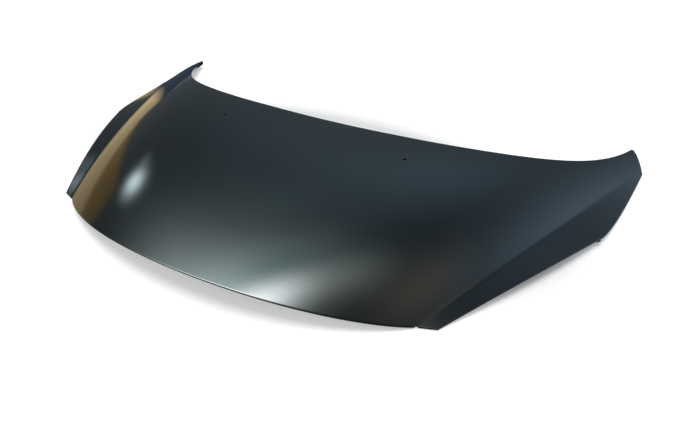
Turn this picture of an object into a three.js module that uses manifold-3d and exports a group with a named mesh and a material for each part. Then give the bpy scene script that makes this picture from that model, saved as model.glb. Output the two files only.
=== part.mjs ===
// A car bonnet in primed steel, bare as a replacement panel: an outer skin hemmed round a pressed
// inner frame, with plates and weld nuts for the hinges and the latch, and dabs of mastic between the
// two pressings. Millimetres, +Z up, X across the car with the car's left at +X, front edge at -Y.
// It lies as on a floor, on its front corners and the outer corners of its horns.
import * as THREE from "three";
import { mergeVertices } from "three/addons/utils/BufferGeometryUtils.js";
import Module from "manifold-3d";

const wasm = await Module();
wasm.setup();

// Plan outline of the left half, with Y measured back from the outer front corners
const overallWidth = 1460;
const cornerSpan = 929; // between the outer front corners
const sideLength = 690; // outer front corner to outer horn corner
const frontBow = 123; // middle of the front edge, ahead of the corners
const frontMiddleReach = 241; // how far the front edge runs nearly straight
const frontCornerPull = { across: 48, along: 36 };
const facet = { across: 34.5, along: 12 }; // short straight edge from crease to outer corner
const lampEdgePull = { across: 128, along: 204 };
const notch = { inset: 53.4, back: 374.5 }; // where the headlamp edge meets the wing edge
const wingEdgePull = { across: 20.4, along: 36.5 };
const hornNose = { across: 38, along: 77 }; // horn tip from the outer horn corner
const hornNosePull = { across: 10.4, along: 15.6 };
const rearMiddle = 463; // middle of the rear edge
const rearStraight = 225; // half of its straight middle
const rearStraightPull = 121;
const hornRootPull = { across: 98, along: 273 };
const creaseOnNose = 0.9; // where the crease ends, from the horn tip to the outer corner
const creaseBow = 28.6; // how far the crease bows outwards

// Heights over the outer front corners
const middleHeight = { front: 44.5, frontPull: 87, rearPull: 116.7, rear: 81 };
const creaseHeight = { front: 0.6, frontPull: 36.1, rearPull: 21.7, rear: 5.4 };
const shoulderAngle = { front: 24.8, middle: 29.5, rear: 25.8 }; // fall inside the crease, degrees
const flankAngle = { front: 4.7, middle: 9.8, rear: 29.3 }; // fall outside the crease, degrees
const crownFullness = 1.2;

// Sheet, hem and flange
const skinSheet = 0.8;
const frameSheet = 0.8;
const seatClearance = 0.3; // between pieces that touch
const hemReturn = 11;
const hemBend = { inset: 1.2, drop: 0.9 };
const flangeEdgeGap = 1; // between the flange's edge and the bend of the hem
const flangeWidth = 13;
const flangeStep = 6; // from the flange down to the web
const webDrop = 3.6; // from the skin's underside down to the web
const hemReliefRadius = 2.5;
const edgeTab = { length: 12, reach: 4, overlap: 2, thickness: 0.6, share: 0.95 };

// Rails, arms, ribs and beads of the frame: channels open towards the skin, their depth measured from
// the outer surface
const channelDraft = 24; // lean of the walls, degrees
const frontRail = { width: 32, depth: 22, inset: 54, reach: 0.93 }; // reach along the front edge
const rearRail = { width: 32, depth: 22, inset: 54, reach: 0.66 }; // reach along the rear edge
const sideRail = { width: 30, depth: 20, inset: 78 }; // inset from the crease
const arm = { width: 24, depth: 17, frontAcross: 80, rearAcross: 458, rearBack: 448, bow: 26 };
const crossRib = { width: 20, depth: 13, back: 205 };
const centreRib = { width: 20, depth: 13 };
const hornBead = { width: 8, depth: 10, across: 0.62, from: 0.15, to: 0.66 };
const wingBead = { width: 10, depth: 9, across: 0.4, from: 0.34, to: 0.6 };

// Hinge and latch pads, with their plates, bolts and nuts
const hingePad = { length: 112, width: 44, drop: 27, share: 0.68 }; // share of the crease's length
const latchPad = { length: 104, width: 38, drop: 25 };
const plate = { thickness: 2, edgeGap: 3, corner: 8 };
const hingeBoltSpacing = 64;
const latchBoltSpacing = 60;
const boltHole = 9;
const nut = { across: 13, height: 7, bore: 6.8 };

// Holes and mastic
const washerJet = { hole: 8, frameHole: 26, across: 248.7, back: 347 };
const lighteningHole = { lip: 12, bridge: 26, corner: 14 };
const frontHole = { clear: 22, split: 118 }; // clear of the front rail, and where its rear row splits
const rearHole = { innerReach: 180, outerStart: 292, outerFront: 318 };
const sideHole = { front: 6, split: 84, rear: 225 };
const dab = { diameter: 22, behindRib: 18, besideHole: 20, pitch: 62, besideArm: 38, besideRail: 36 };

// How finely the pressings are divided
const mainRows = 11;
const hornRows = 8;
const notchRow = 10;
const mainColumns = 9;
const hornColumns = 4;
const flankColumns = 2;
const channelStep = 80;
const ribStep = 60;
const beadSteps = 5;
const roundSteps = 6;
const cornerSteps = 2;

// Reach of cutters past the sheets
const cutterRise = 12;
const cutterTop = 180;
const cutterFloor = -90;

const degrees = Math.PI / 180;
const mix = THREE.MathUtils.lerp;
const plan = (x, y) => new THREE.Vector2(x, y);
const steps = (count, make) => Array.from({ length: count + 1 }, (_, k) => make(k / count));

const halfWidth = overallWidth / 2;
const frontCorner = plan(cornerSpan / 2, 0);
const creaseFront = plan(frontCorner.x - facet.across, -facet.along);
const notchCorner = plan(halfWidth - notch.inset, notch.back);
const hornCorner = plan(halfWidth, sideLength);
const hornTip = plan(hornCorner.x - hornNose.across, hornCorner.y + hornNose.along);

const frontEdge = new THREE.CubicBezierCurve(
  plan(0, -frontBow),
  plan(frontMiddleReach, -frontBow),
  plan(creaseFront.x - frontCornerPull.across, creaseFront.y - frontCornerPull.along),
  creaseFront,
);
const lampEdge = new THREE.QuadraticBezierCurve(
  frontCorner,
  plan(frontCorner.x + lampEdgePull.across, frontCorner.y + lampEdgePull.along),
  notchCorner,
);
const wingEdge = new THREE.QuadraticBezierCurve(
  notchCorner,
  plan(notchCorner.x + wingEdgePull.across, notchCorner.y + wingEdgePull.along),
  hornCorner,
);
const noseEdge = new THREE.QuadraticBezierCurve(
  hornTip,
  plan(hornTip.x + hornNosePull.across, hornTip.y + hornNosePull.along),
  hornCorner,
);
const rearEdge = new THREE.Path()
  .moveTo(0, rearMiddle)
  .lineTo(rearStraight, rearMiddle)
  .bezierCurveTo(
    rearStraight + rearStraightPull,
    rearMiddle,
    hornTip.x - hornRootPull.across,
    hornTip.y - hornRootPull.along,
    hornTip.x,
    hornTip.y,
  );
const creaseRear = noseEdge.getPoint(creaseOnNose);
const crease = new THREE.QuadraticBezierCurve(
  creaseFront,
  creaseFront.clone().lerp(creaseRear, 0.5).add(plan(creaseBow, 0)),
  creaseRear,
);

// A value along the bonnet, from its front to its rear, shaped by its two pulls
function pulled(values, t) {
  const s = 1 - t;
  return (
    s * s * s * values.front +
    3 * t * s * s * values.frontPull +
    3 * t * t * s * values.rearPull +
    t * t * t * values.rear
  );
}

// A value along the bonnet, through its front, middle and rear
function through(values, t) {
  return (
    2 * (t - 0.5) * (t - 1) * values.front +
    4 * t * (1 - t) * values.middle +
    2 * t * (t - 0.5) * values.rear
  );
}

// Height of the outer surface: a crown that falls to the crease, and a flatter flank outside it
function skinHeight(x, y) {
  const across = Math.abs(x);
  const t = (y - creaseFront.y) / (creaseRear.y - creaseFront.y);
  const creaseX = crease.getPoint(t).x;
  const creaseZ = pulled(creaseHeight, t);
  if (across > creaseX) {
    return creaseZ - Math.tan(through(flankAngle, t) * degrees) * (across - creaseX);
  }
  const middleZ = pulled(middleHeight, (y + frontBow) / (rearMiddle + frontBow));
  const fall = Math.tan(through(shoulderAngle, t) * degrees) * (creaseX / crownFullness);
  const s = (across / creaseX) ** crownFullness;
  return mix(middleZ, creaseZ, s * s * (3 - 2 * s)) + s * s * (1 - s) * fall;
}

// Plan points between four edges, each edge a function of 0 to 1
function patch(front, rear, inner, outer) {
  return (u, v) =>
    plan(0, 0)
      .addScaledVector(front(u), 1 - v)
      .addScaledVector(rear(u), v)
      .addScaledVector(inner(v), 1 - u)
      .addScaledVector(outer(v), u)
      .addScaledVector(front(0), -(1 - u) * (1 - v))
      .addScaledVector(front(1), -u * (1 - v))
      .addScaledVector(rear(0), -(1 - u) * v)
      .addScaledVector(rear(1), -u * v);
}

const rows = mainRows + hornRows;
const innerColumns = mainColumns + hornColumns;
const reachColumns = innerColumns + flankColumns;
const hornRoot = 0.52; // where the horn starts, along the rear edge from its middle
const rootRow = mainRows / rows;
const rootColumn = mainColumns / innerColumns;
const notchShare = notchRow / rows;
const leastSquare = 0.5; // keeps the rim from folding over itself at the sharpest corners
const weldDistance = 1e-4;
const between = (a, b) => (t) => a.clone().lerp(b, t);
const rootLine = between(rearEdge.getPointAt(hornRoot), crease.getPoint(rootRow));

const mainPatch = patch(
  (u) => frontEdge.getPoint(u),
  (u) =>
    u < rootColumn
      ? rearEdge.getPointAt((hornRoot * u) / rootColumn)
      : rootLine((u - rootColumn) / (1 - rootColumn)),
  between(plan(0, -frontBow), plan(0, rearMiddle)),
  (v) => crease.getPoint(rootRow * v),
);
const hornPatch = patch(
  rootLine,
  (u) => noseEdge.getPoint(creaseOnNose * u),
  (v) => rearEdge.getPointAt(mix(hornRoot, 1, v)),
  (v) => crease.getPoint(mix(rootRow, 1, v)),
);
const flankPatch = patch(
  between(creaseFront, frontCorner),
  (u) => noseEdge.getPoint(mix(creaseOnNose, 1, u)),
  (v) => crease.getPoint(v),
  (v) =>
    v < notchShare
      ? lampEdge.getPoint(v / notchShare)
      : wingEdge.getPoint((v - notchShare) / (1 - notchShare)),
);

// Plan point of a grid node, or nothing where the rear edge cuts the grid off
function gridPoint(column, row) {
  const i = Math.abs(column);
  let point = null;
  if (i > innerColumns) {
    point = flankPatch((i - innerColumns) / flankColumns, row / rows);
  } else if (row <= mainRows) {
    point = mainPatch(i / innerColumns, row / mainRows);
  } else if (i >= mainColumns) {
    point = hornPatch((i - mainColumns) / hornColumns, (row - mainRows) / hornRows);
  }
  if (point) point.x *= Math.sign(column);
  return point;
}

// The grid that both pressings share: its nodes, its quads and its rim
function makeGrid() {
  const nodes = [];
  const indexAt = new Map();
  for (let row = 0; row <= rows; row++) {
    for (let column = -reachColumns; column <= reachColumns; column++) {
      const point = gridPoint(column, row);
      if (point) indexAt.set(column + "," + row, nodes.push(point) - 1);
    }
  }
  const quads = [];
  for (let row = 0; row < rows; row++) {
    for (let column = -reachColumns; column < reachColumns; column++) {
      const quad = [
        indexAt.get(column + "," + row),
        indexAt.get(column + 1 + "," + row),
        indexAt.get(column + 1 + "," + (row + 1)),
        indexAt.get(column + "," + (row + 1)),
      ];
      // Quads split the other way left of the middle, so the bonnet is the same on both sides
      const turned = column < 0 ? [...quad.slice(1), quad[0]] : quad;
      if (!quad.includes(undefined)) quads.push(turned);
    }
  }
  return { nodes, quads, rim: findRim(nodes, quads) };
}

// The nodes round the edge in order, each with the direction and the room to the nodes behind it
function findRim(nodes, quads) {
  const open = new Map();
  const beside = nodes.map(() => new Set());
  const opposite = nodes.map(() => []);
  for (const quad of quads) {
    quad.forEach((a, k) => {
      const b = quad[(k + 1) % 4];
      beside[a].add(b);
      beside[b].add(a);
      opposite[a].push(quad[(k + 2) % 4]);
      const edge = Math.min(a, b) + "," + Math.max(a, b);
      if (!open.delete(edge)) open.set(edge, [a, b]);
    });
  }
  const next = new Map(open.values());
  const order = [0];
  while (next.get(order.at(-1)) !== 0) order.push(next.get(order.at(-1)));
  const onRim = new Set(order);
  return order.map((index, k) => {
    const at = nodes[index];
    const along = nodes[order[(k + 1) % order.length]].clone().sub(nodes[order.at(k - 1)]);
    const inside = [...beside[index]].filter((other) => !onRim.has(other));
    const behind = inside.length ? inside : opposite[index];
    const inward = plan(0, 0).sub(at);
    for (const other of behind) inward.addScaledVector(nodes[other], 1 / behind.length);
    const room = inward.length();
    const square = Math.max(leastSquare, along.normalize().cross(inward.normalize()));
    return { index, at, inward, room, square };
  });
}

function solidOf(position, face) {
  return new wasm.Manifold(
    new wasm.Mesh({
      numProp: 3,
      vertProperties: new Float32Array(position),
      triVerts: new Uint32Array(face),
    }),
  );
}

// A closed three.js geometry as a solid
function solidFrom(geometry) {
  const merged = mergeVertices(geometry.deleteAttribute("normal").deleteAttribute("uv"), weldDistance);
  return solidOf(merged.attributes.position.array, merged.index.array);
}

function geometryFrom(solid) {
  const mesh = solid.getMesh();
  const geometry = new THREE.BufferGeometry();
  geometry.setAttribute("position", new THREE.BufferAttribute(mesh.vertProperties, 3));
  geometry.setIndex(new THREE.BufferAttribute(mesh.triVerts, 1));
  geometry.computeVertexNormals();
  return geometry;
}

const join = (solids) => solids.reduce((whole, next) => whole.add(next));
const cut = (solid, cutters) => cutters.reduce((rest, cutter) => rest.subtract(cutter), solid);

const grid = makeGrid();
const rimPlace = new Map(grid.rim.map((node, k) => [node.index, k]));
const hemStack = 2 * skinSheet + frameSheet + 2 * seatClearance;
const flangeTop = skinSheet + seatClearance;
const flangeOuter = hemBend.inset + flangeEdgeGap;
const flangeInner = flangeOuter + flangeWidth;
const webTop = skinSheet + webDrop;
const webInset = flangeInner + flangeStep;
const roomShare = 0.8; // most of the room behind the edge that the hem and flange take

// A closed shell over the grid. Its section is a list of insets from the outline and drops from the
// outer surface, from the upper face round the edge to the lower face
function shell(section) {
  const position = [];
  const add = ({ x, y }, drop) => position.push(x, y, skinHeight(x, y) - drop) / 3 - 1;
  const rings = section.map(({ inset, drop }) =>
    grid.rim.map(({ at, inward, room, square }) => {
      const scale = Math.min(1, (roomShare * room * square) / webInset);
      return add(at.clone().addScaledVector(inward, (inset * scale) / square), drop);
    }),
  );
  const level = (ring, drop) =>
    grid.nodes.map((point, index) =>
      rimPlace.has(index) ? ring[rimPlace.get(index)] : add(point, drop),
    );
  const upper = level(rings[0], section[0].drop);
  const lower = level(rings.at(-1), section.at(-1).drop);
  const face = [];
  for (const [a, b, c, d] of grid.quads) {
    face.push(upper[a], upper[b], upper[c], upper[a], upper[c], upper[d]);
    face.push(lower[c], lower[b], lower[a], lower[d], lower[c], lower[a]);
  }
  for (let k = 0; k + 1 < rings.length; k++) {
    const inwards = section[k + 1].inset > section[k].inset;
    rings[k].forEach((a, i) => {
      const j = (i + 1) % rings[k].length;
      const [b, c, d] = [rings[k][j], rings[k + 1][i], rings[k + 1][j]];
      // Faces that lie on each other split alike, and the left and right sides mirror
      const onRight = grid.rim[i].at.x + grid.rim[j].at.x < 0;
      if (inwards === onRight) face.push(b, a, c, b, c, d);
      else face.push(b, a, d, a, c, d);
    });
  }
  return solidOf(position, face);
}

// A solid with four corners at each station, closed at both ends
function loft(stations) {
  const face = [0, 1, 2, 0, 2, 3];
  for (let s = 0; s + 1 < stations.length; s++) {
    for (let k = 0; k < 4; k++) {
      const a = 4 * s + k;
      const b = 4 * s + ((k + 1) % 4);
      face.push(a, b + 4, b, a, a + 4, b + 4);
    }
  }
  const end = 4 * (stations.length - 1);
  face.push(end, end + 2, end + 1, end, end + 3, end + 2);
  return solidOf(
    stations.flat().flatMap((point) => point.toArray()),
    face,
  );
}

const lean = Math.tan(channelDraft * degrees);
const wallCut = (wall) => wall / Math.cos(channelDraft * degrees) - wall * lean;

// The room that a channel takes along a plan path, its ends leaning as its sides do, or with a wall
// given, the room inside it
function channel({ path, width, depth }, wall) {
  const floorSpread = -wallCut(wall);
  const topSpread = floorSpread + (depth - wall + cutterRise) * lean;
  return loft(
    path.map((at, k) => {
      const end = (k === path.length - 1) - (k === 0);
      const ahead = path[Math.min(k + 1, path.length - 1)];
      const along = ahead.clone().sub(path[Math.max(k - 1, 0)]).normalize();
      const corner = (side, spread, lift) => {
        const offset = side * (width / 2 + spread);
        const x = at.x + along.y * offset + along.x * end * spread;
        const y = at.y - along.x * offset + along.y * end * spread;
        return new THREE.Vector3(x, y, skinHeight(x, y) + lift);
      };
      return [
        corner(-1, floorSpread, wall - depth),
        corner(1, floorSpread, wall - depth),
        corner(1, topSpread, cutterRise),
        corner(-1, topSpread, cutterRise),
      ];
    }),
  );
}

// The same for a pad with a level floor, pressed down from the web like a pan
function pan({ centre, heading, length, width, floor }, wall) {
  const ring = (z) => {
    const spread = (z - floor - wall) * lean - wallCut(wall);
    const along = length / 2 + spread;
    const half = width / 2 + spread;
    const corners = [plan(-along, -half), plan(-along, half), plan(along, half), plan(along, -half)];
    return corners.map((corner) => {
      const turned = corner.rotateAround(plan(0, 0), heading).add(centre);
      return new THREE.Vector3(turned.x, turned.y, z);
    });
  };
  return loft([ring(floor + wall), ring(cutterTop)]);
}

// A flat shape with round corners, from its plan corners
function roundedShape(corners, radius) {
  const shape = new THREE.Shape();
  corners.forEach((corner, k) => {
    const before = corners.at(k - 1).clone().sub(corner).setLength(radius).add(corner);
    const after = corners[(k + 1) % corners.length].clone().sub(corner).setLength(radius).add(corner);
    if (k === 0) shape.moveTo(before.x, before.y);
    else shape.lineTo(before.x, before.y);
    shape.quadraticCurveTo(corner.x, corner.y, after.x, after.y);
  });
  return shape.closePath();
}

function extruded(shape, bottom, height, curveSegments) {
  const options = { depth: height, bevelEnabled: false, curveSegments };
  const geometry = new THREE.ExtrudeGeometry(shape, options);
  return geometry.translate(0, 0, bottom);
}

const pillar = (shape, segments) =>
  solidFrom(extruded(shape, cutterFloor, cutterTop - cutterFloor, segments));

const disc = ({ x, y }, diameter) => new THREE.Shape().absarc(x, y, diameter / 2, 0, 2 * Math.PI);
const roundPillar = (centre, diameter) => pillar(disc(centre, diameter), roundSteps);

const mirrorPoint = (point) => plan(-point.x, point.y);
const bothSides = (point) => [point, mirrorPoint(point)];
const acrossMiddle = (half) => [...half.slice(1).map(mirrorPoint).reverse(), ...half];

// Points along a curve, at an inset to the left of its direction
function alongside(curve, inset, from, to) {
  const count = Math.max(3, Math.round((curve.getLength() * (to - from)) / channelStep));
  return steps(count, (share) => {
    const t = mix(from, to, share);
    const along = curve.getTangentAt(t);
    return curve.getPointAt(t).add(plan(-along.y, along.x).multiplyScalar(inset));
  });
}

// Where a curve that runs rearwards stands across the bonnet
function acrossAt(curve, y) {
  let low = 0;
  let high = 1;
  while (high - low > 1e-6) {
    const middle = (low + high) / 2;
    if (curve.getPoint(middle).y < y) low = middle;
    else high = middle;
  }
  return curve.getPoint(low).x;
}

// Plan lines of the rails and arms
const sideRailShift = creaseRear.clone().sub(creaseFront).setLength(sideRail.inset);
sideRailShift.rotateAround(plan(0, 0), Math.PI / 2);
const shifted = (curve, shift) =>
  new THREE.QuadraticBezierCurve(
    curve.v0.clone().add(shift),
    curve.v1.clone().add(shift),
    curve.v2.clone().add(shift),
  );
const sideRailLine = shifted(crease, sideRailShift);
const latchCentre = plan(0, frontRail.inset - frontBow);
const armFront = plan(arm.frontAcross, latchCentre.y);
const armRear = plan(arm.rearAcross, arm.rearBack);
const armLine = new THREE.QuadraticBezierCurve(
  armFront,
  armFront.clone().lerp(armRear, 0.5).add(plan(arm.bow, -arm.bow)),
  armRear,
);
const hingeCentre = sideRailLine.getPoint(hingePad.share);
const hingeHeading = sideRailLine.getTangent(hingePad.share).angle();

const halfChannels = [
  { ...sideRail, path: alongside(sideRailLine, 0, 0, hingePad.share) },
  { ...arm, path: alongside(armLine, 0, 0, 1) },
  {
    ...hornBead,
    path: steps(beadSteps, (share) =>
      hornPatch(hornBead.across, mix(hornBead.from, hornBead.to, share)),
    ),
  },
  {
    ...wingBead,
    path: steps(beadSteps, (share) =>
      flankPatch(wingBead.across, mix(wingBead.from, wingBead.to, share)),
    ),
  },
];
const ribPath = (from, to) =>
  steps(Math.round(from.distanceTo(to) / ribStep), (share) => from.clone().lerp(to, share));
const crossRibEnd = plan(acrossAt(armLine, crossRib.back), crossRib.back);
const channels = [
  { ...frontRail, path: acrossMiddle(alongside(frontEdge, frontRail.inset, 0, frontRail.reach)) },
  { ...rearRail, path: acrossMiddle(alongside(rearEdge, -rearRail.inset, 0, rearRail.reach)) },
  { ...crossRib, path: acrossMiddle(ribPath(plan(0, crossRib.back), crossRibEnd)) },
  { ...centreRib, path: ribPath(latchCentre, plan(0, rearMiddle - rearRail.inset)) },
  ...halfChannels,
  ...halfChannels.map((one) => ({ ...one, path: one.path.map(mirrorPoint) })),
];

const hingeFloor = skinHeight(hingeCentre.x, hingeCentre.y) - hingePad.drop;
const latchFloor = skinHeight(latchCentre.x, latchCentre.y) - latchPad.drop;
const pads = {
  latch: { ...latchPad, centre: latchCentre, heading: 0, floor: latchFloor },
  left: { ...hingePad, centre: hingeCentre, heading: hingeHeading, floor: hingeFloor },
  right: {
    ...hingePad,
    centre: mirrorPoint(hingeCentre),
    heading: Math.PI - hingeHeading,
    floor: hingeFloor,
  },
};

const boltPoints = ({ centre, heading }, spacing) =>
  [-spacing / 2, spacing / 2].map((offset) =>
    plan(offset, 0).rotateAround(plan(0, 0), heading).add(centre),
  );
const bolts = {
  latch: boltPoints(pads.latch, latchBoltSpacing),
  left: boltPoints(pads.left, hingeBoltSpacing),
  right: boltPoints(pads.right, hingeBoltSpacing),
};

// Corners of a hole in the web between two lines that run rearwards, clear of the channels on them
function webHole(inner, outer, front, rear) {
  const corner = (line, side, y) =>
    plan(line.across(y) + side * (line.half + lighteningHole.lip), y);
  return [
    corner(inner, 1, front),
    corner(outer, -1, front),
    corner(outer, -1, rear),
    corner(inner, 1, rear),
  ];
}

// Half the width of a channel where it opens into the web
const openHalf = ({ width, depth }) => width / 2 + (depth - webTop) * lean;

// A channel that runs rearwards at a slant: where it stands, and half its width, across the bonnet
function slanted(curve, section) {
  const along = curve.v2.clone().sub(curve.v0).normalize();
  return { across: (y) => acrossAt(curve, y), half: openHalf(section) / along.y };
}

const middleLine = { across: () => 0, half: openHalf(centreRib) };
const armEdge = slanted(armLine, arm);
const sideEdge = slanted(sideRailLine, sideRail);
const halfBridge = lighteningHole.bridge / 2;
const bridgeLine = (across) => ({ across: () => across, half: halfBridge - lighteningHole.lip });
const frontHoles = latchCentre.y + openHalf(frontRail) + lighteningHole.lip + frontHole.clear;
const crossFront = crossRib.back - openHalf(crossRib) - lighteningHole.lip;
const crossRear = crossRib.back + openHalf(crossRib) + lighteningHole.lip;
const rearHoles = rearMiddle - rearRail.inset - openHalf(rearRail) - lighteningHole.lip;
const holeMiddle = (frontHoles + crossFront) / 2;
const holes = [
  webHole(middleLine, armEdge, frontHoles, holeMiddle - halfBridge),
  webHole(middleLine, bridgeLine(frontHole.split), holeMiddle + halfBridge, crossFront),
  webHole(bridgeLine(frontHole.split), armEdge, holeMiddle + halfBridge, crossFront),
  webHole(middleLine, bridgeLine(rearHole.innerReach), crossRear, rearHoles),
  webHole(bridgeLine(rearHole.outerStart), armEdge, rearHole.outerFront, rearHoles),
  webHole(armEdge, sideEdge, sideHole.front, sideHole.split),
  webHole(armEdge, sideEdge, sideHole.split + lighteningHole.bridge, sideHole.rear),
];

// Dabs stand on the web: two beside the rear hole, one inside the arm, and the rest on the bridges
// between holes and outside the side rail
const dabRow = crossRear + dab.behindRib;
const sideBridge = sideHole.split + halfBridge;
const dabPoints = [
  plan(rearHole.innerReach + dab.besideHole, dabRow),
  plan(rearHole.innerReach + dab.besideHole, dabRow + dab.pitch),
  plan(armEdge.across(dabRow + dab.behindRib) - dab.besideArm, dabRow + dab.behindRib),
  plan(frontHole.split / 2, holeMiddle),
  plan((armEdge.across(sideBridge) + sideEdge.across(sideBridge)) / 2, sideBridge),
  plan(sideEdge.across(rearHole.outerFront) + dab.besideRail, rearHole.outerFront),
];

// Outer skin, its edge folded back under itself
function makeSkin() {
  const hemTop = hemStack - skinSheet;
  const folded = shell([
    { inset: webInset, drop: 0 },
    { inset: hemBend.inset, drop: 0 },
    { inset: 0, drop: hemBend.drop },
    { inset: 0, drop: hemStack - hemBend.drop },
    { inset: hemBend.inset, drop: hemStack },
    { inset: hemReturn, drop: hemStack },
    { inset: hemReturn, drop: hemTop },
    { inset: skinSheet, drop: hemTop },
    { inset: skinSheet, drop: skinSheet },
    { inset: webInset, drop: skinSheet },
  ]);
  const tabs = [edgeTabAt(1), edgeTabAt(-1)];
  const jets = bothSides(plan(washerJet.across, washerJet.back));
  const reliefs = bothSides(creaseFront);
  return cut(join([folded, ...tabs]), [
    ...jets.map((centre) => roundPillar(centre, washerJet.hole)),
    ...reliefs.map((centre) => roundPillar(centre, 2 * hemReliefRadius)),
  ]);
}

// Small tab of the hem just ahead of the notch
function edgeTabAt(side) {
  const share = edgeTab.length / lampEdge.getLength();
  const top = hemStack - (skinSheet - edgeTab.thickness) / 2 - edgeTab.thickness;
  const stations = [edgeTab.share - share, edgeTab.share].map((t) => {
    const along = lampEdge.getTangentAt(t);
    const outward = plan(along.y, -along.x);
    const at = lampEdge.getPointAt(t);
    return [
      [-edgeTab.overlap, top + edgeTab.thickness],
      [edgeTab.reach, top + edgeTab.thickness],
      [edgeTab.reach, top],
      [-edgeTab.overlap, top],
    ].map(([reach, drop]) => {
      const point = at.clone().addScaledVector(outward, reach);
      return new THREE.Vector3(side * point.x, point.y, skinHeight(point.x, point.y) - drop);
    });
  });
  return loft(side > 0 ? stations : stations.reverse());
}

// Inner frame: a web with a flange that lies in the hem, and channels and pads pressed down from it
function makeFrame() {
  const sheet = shell([
    { inset: webInset, drop: webTop },
    { inset: flangeInner, drop: flangeTop },
    { inset: flangeOuter, drop: flangeTop },
    { inset: flangeOuter, drop: flangeTop + frameSheet },
    { inset: flangeInner, drop: flangeTop + frameSheet },
    { inset: webInset, drop: webTop + frameSheet },
  ]);
  const belowWeb = shell([
    { inset: webInset, drop: webTop + frameSheet / 2 },
    { inset: webInset, drop: cutterTop },
  ]);
  const padList = Object.values(pads);
  const outer = [...channels.map((one) => channel(one, 0)), ...padList.map((one) => pan(one, 0))];
  const inner = [
    ...channels.map((one) => channel(one, frameSheet)),
    ...padList.map((one) => pan(one, frameSheet)),
  ];
  const openings = holes.flatMap((corners) => [corners, corners.map(mirrorPoint)]);
  const jets = bothSides(plan(washerJet.across, washerJet.back));
  return cut(sheet.add(join(outer).intersect(belowWeb)), [
    join(inner),
    ...openings.map((corners) => pillar(roundedShape(corners, lighteningHole.corner), cornerSteps)),
    ...jets.map((at) => roundPillar(at, washerJet.frameHole)),
    ...Object.values(bolts)
      .flat()
      .map((at) => roundPillar(at, boltHole)),
  ]);
}

// Plate over a pad, inside the frame
function makePlate(pad, points) {
  const margin = wallCut(frameSheet) + plate.edgeGap;
  const along = pad.length / 2 - margin;
  const half = pad.width / 2 - margin;
  const corners = [plan(-along, -half), plan(along, -half), plan(along, half), plan(-along, half)];
  const shape = roundedShape(
    corners.map((corner) => corner.rotateAround(plan(0, 0), pad.heading).add(pad.centre)),
    plate.corner,
  );
  shape.holes = points.map((at) => disc(at, boltHole));
  return extruded(shape, pad.floor + frameSheet + seatClearance, plate.thickness, roundSteps);
}

// Hexagon weld nut on a plate
function makeNut(pad, at) {
  const corners = [0, 60, 120, 180, 240, 300].map((turn) =>
    plan(nut.across / Math.sqrt(3), 0)
      .rotateAround(plan(0, 0), pad.heading + turn * degrees)
      .add(at),
  );
  const shape = new THREE.Shape(corners);
  shape.holes = [disc(at, nut.bore)];
  const seat = pad.floor + frameSheet + plate.thickness + 2 * seatClearance;
  return extruded(shape, seat, nut.height, roundSteps);
}

// Dabs of mastic, squeezed between the web and the skin
function makeDabs() {
  const squeezed = shell([
    { inset: webInset, drop: skinSheet + seatClearance },
    { inset: webInset, drop: webTop - seatClearance },
  ]);
  return dabPoints.flatMap(bothSides).map((at) => squeezed.intersect(roundPillar(at, dab.diameter)));
}

const finish = (color, roughness, metalness) =>
  new THREE.MeshStandardMaterial({ color, roughness, metalness });
const skinPrimer = finish(0x20282c, 0.25, 0);
const framePrimer = finish(0x1b2124, 0.4, 0);
const platePrimer = finish(0x24292b, 0.5, 0);
const zincPlated = finish(0xa9adb0, 0.35, 1);
const masticGrey = finish(0x3a3a38, 0.9, 0);

const bonnet = new THREE.Group();
function addPiece(name, geometry, material) {
  const piece = new THREE.Mesh(geometry, material);
  piece.name = name;
  bonnet.add(piece);
}

addPiece("outer_skin", geometryFrom(makeSkin()), skinPrimer);
addPiece("inner_frame", geometryFrom(makeFrame()), framePrimer);
for (const side of ["left", "right"]) {
  addPiece("hinge_reinforcement_" + side, makePlate(pads[side], bolts[side]), platePrimer);
  bolts[side].forEach((at, k) => {
    addPiece("hinge_nut_" + side + "_" + ["front", "rear"][k], makeNut(pads[side], at), zincPlated);
  });
}
addPiece("latch_reinforcement", makePlate(pads.latch, bolts.latch), platePrimer);
bolts.latch.forEach((at, k) => {
  addPiece("latch_nut_" + ["right", "left"][k], makeNut(pads.latch, at), zincPlated);
});

makeDabs().forEach((one, k) => {
  addPiece("mastic_dab_" + String(k + 1).padStart(2, "0"), geometryFrom(one), masticGrey);
});

// The origin is at the middle of the plan, on the floor that the bonnet lies on
const bounds = new THREE.Box3().setFromObject(bonnet);
const middle = bounds.getCenter(new THREE.Vector3());
bonnet.position.set(-middle.x, -middle.y, -bounds.min.z);

export default bonnet;
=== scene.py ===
"""Looks of a car bonnet in dark primer: its smooth outer skin with a folded edge, the finishes of
the pressed frame, plates, nuts and mastic under it, and a pale studio."""

import math

import bmesh
import bpy
from mathutils import Matrix, Vector


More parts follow.
